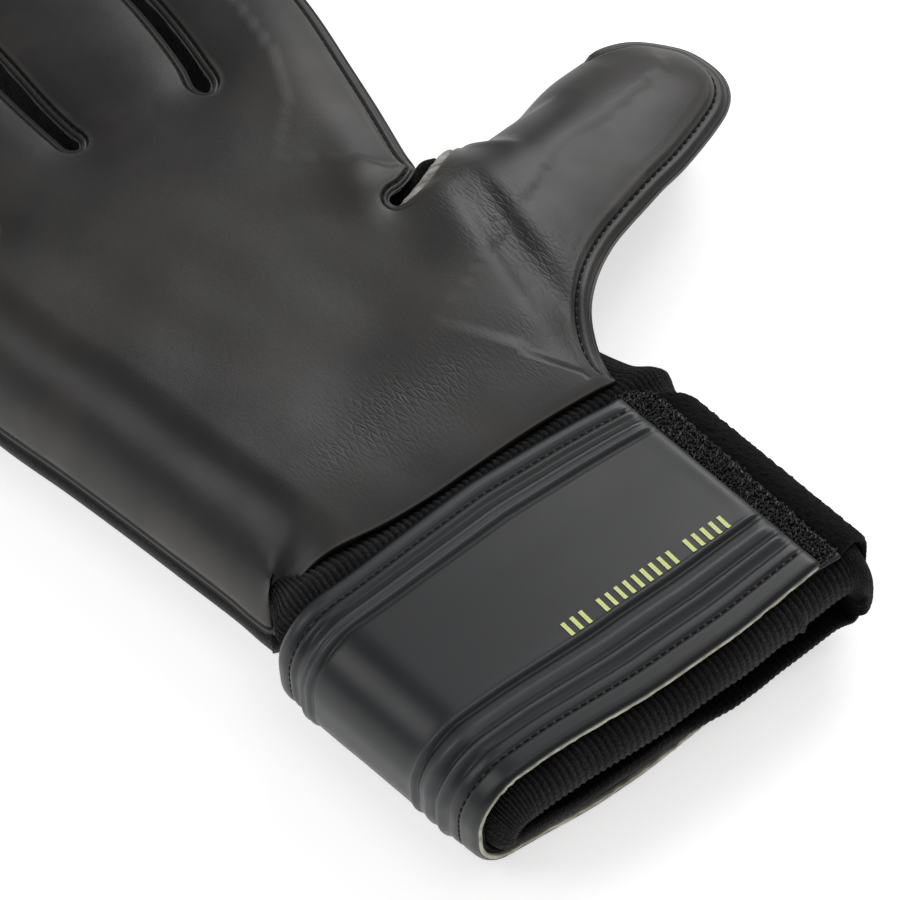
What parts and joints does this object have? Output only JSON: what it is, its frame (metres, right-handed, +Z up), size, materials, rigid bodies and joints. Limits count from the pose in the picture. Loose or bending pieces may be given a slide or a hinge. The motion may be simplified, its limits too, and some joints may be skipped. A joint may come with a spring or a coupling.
{
  "type": "goalkeeper glove",
  "caption": "Right-hand goalkeeper glove with a foam latex palm, hollow fingers that bend, ribbed cuff and a peel-open wrist strap.",
  "frame": {"origin": "middle of the footprint, on the table under the back of the hand", "axes": "+Y to the fingertips, +X to the thumb side, +Z up out of the palm"},
  "size_m": [0.1806, 0.274, 0.0352],
  "materials": {
    "latex": "matt foam latex with a satin skin",
    "gusset_fabric": "black textured mesh",
    "backhand_foam": "black embossed foam faced with knit",
    "lining_fabric": "thin black tricot",
    "rib_knit": "black ribbed elastic knit",
    "strap_latex": "smooth satin embossed latex",
    "strap_foam": "cream foam, seen as a thin cut edge",
    "hook_tape": "black hook tape, speckled",
    "loop_velour": "black brushed loop velour"
  },
  "bodies": {
    "hand": {"palm_latex": "latex", "backhand_panel": "backhand_foam", "palm_lining": "lining_fabric", "gusset_little_side": "gusset_fabric", "gusset_ring_little": "gusset_fabric", "gusset_middle_ring": "gusset_fabric", "gusset_index_middle": "gusset_fabric", "gusset_thumb_index": "gusset_fabric", "gusset_thumb_heel": "gusset_fabric", "cuff_sleeve": "rib_knit", "cuff_hem": "rib_knit", "strap_wrap": "strap_latex", "strap_wrap_backing": "strap_foam", "loop_band": "loop_velour"},
    "index_base": {"index_base_latex": "latex", "index_base_gusset": "gusset_fabric", "index_base_back": "backhand_foam"},
    "index_tip": {"index_tip_latex": "latex", "index_tip_gusset": "gusset_fabric", "index_tip_back": "backhand_foam"},
    "middle_base": {"middle_base_latex": "latex", "middle_base_gusset": "gusset_fabric", "middle_base_back": "backhand_foam"},
    "middle_tip": {"middle_tip_latex": "latex", "middle_tip_gusset": "gusset_fabric", "middle_tip_back": "backhand_foam"},
    "ring_base": {"ring_base_latex": "latex", "ring_base_gusset": "gusset_fabric", "ring_base_back": "backhand_foam"},
    "ring_tip": {"ring_tip_latex": "latex", "ring_tip_gusset": "gusset_fabric", "ring_tip_back": "backhand_foam"},
    "little_base": {"little_base_latex": "latex", "little_base_gusset": "gusset_fabric", "little_base_back": "backhand_foam"},
    "little_tip": {"little_tip_latex": "latex", "little_tip_gusset": "gusset_fabric", "little_tip_back": "backhand_foam"},
    "thumb_base": {"thumb_base_latex": "latex", "thumb_base_gusset": "gusset_fabric", "thumb_base_back": "backhand_foam"},
    "thumb_tip": {"thumb_tip_latex": "latex", "thumb_tip_gusset": "gusset_fabric", "thumb_tip_back": "backhand_foam"},
    "strap_flap": {"strap_flap": "strap_latex", "strap_flap_backing": "strap_foam", "hook_tape": "hook_tape"}
  },
  "joints": [
    {"name": "index_root_flex", "type": "hinge", "parent": "hand", "child": "index_base", "pos_m": [0.0195, 0.06, 0.03005], "axis": [1, 0, 0], "range_deg": [0, 80], "stiffness_Nm_per_rad": 0.03},
    {"name": "index_middle_flex", "type": "hinge", "parent": "index_base", "child": "index_tip", "pos_m": [0.02427, 0.094, 0.02674], "axis": [1, 0, 0], "range_deg": [0, 85], "stiffness_Nm_per_rad": 0.02},
    {"name": "middle_root_flex", "type": "hinge", "parent": "hand", "child": "middle_base", "pos_m": [-0.0154, 0.06, 0.03005], "axis": [1, 0, 0], "range_deg": [0, 80], "stiffness_Nm_per_rad": 0.03},
    {"name": "middle_middle_flex", "type": "hinge", "parent": "middle_base", "child": "middle_tip", "pos_m": [-0.01163, 0.099, 0.02624], "axis": [1, 0, 0], "range_deg": [0, 85], "stiffness_Nm_per_rad": 0.02},
    {"name": "ring_root_flex", "type": "hinge", "parent": "hand", "child": "ring_base", "pos_m": [-0.04675, 0.06, 0.03005], "axis": [1, 0, 0], "range_deg": [0, 80], "stiffness_Nm_per_rad": 0.03},
    {"name": "ring_middle_flex", "type": "hinge", "parent": "ring_base", "child": "ring_tip", "pos_m": [-0.04515, 0.095, 0.02664], "axis": [1, 0, 0], "range_deg": [0, 85], "stiffness_Nm_per_rad": 0.02},
    {"name": "little_root_flex", "type": "hinge", "parent": "hand", "child": "little_base", "pos_m": [-0.0766, 0.056, 0.03048], "axis": [1, 0, 0], "range_deg": [0, 80], "stiffness_Nm_per_rad": 0.03},
    {"name": "little_middle_flex", "type": "hinge", "parent": "little_base", "child": "little_tip", "pos_m": [-0.07734, 0.085, 0.02762], "axis": [1, 0, 0], "range_deg": [0, 85], "stiffness_Nm_per_rad": 0.02},
    {"name": "thumb_root_flex", "type": "hinge", "parent": "hand", "child": "thumb_base", "pos_m": [0.01925, -0.0276, 0.03416], "axis": [0, -1, 0], "range_deg": [0, 55], "stiffness_Nm_per_rad": 0.04},
    {"name": "thumb_middle_flex", "type": "hinge", "parent": "thumb_base", "child": "thumb_tip", "pos_m": [0.05625, -0.018, 0.02885], "axis": [0, -1, 0], "range_deg": [0, 70], "stiffness_Nm_per_rad": 0.02},
    {"name": "strap_open", "type": "hinge", "parent": "hand", "child": "strap_flap", "pos_m": [-0.07575, -0.106, 0.03125], "axis": [0, -1, 0], "range_deg": [0, 150]}
  ]
}
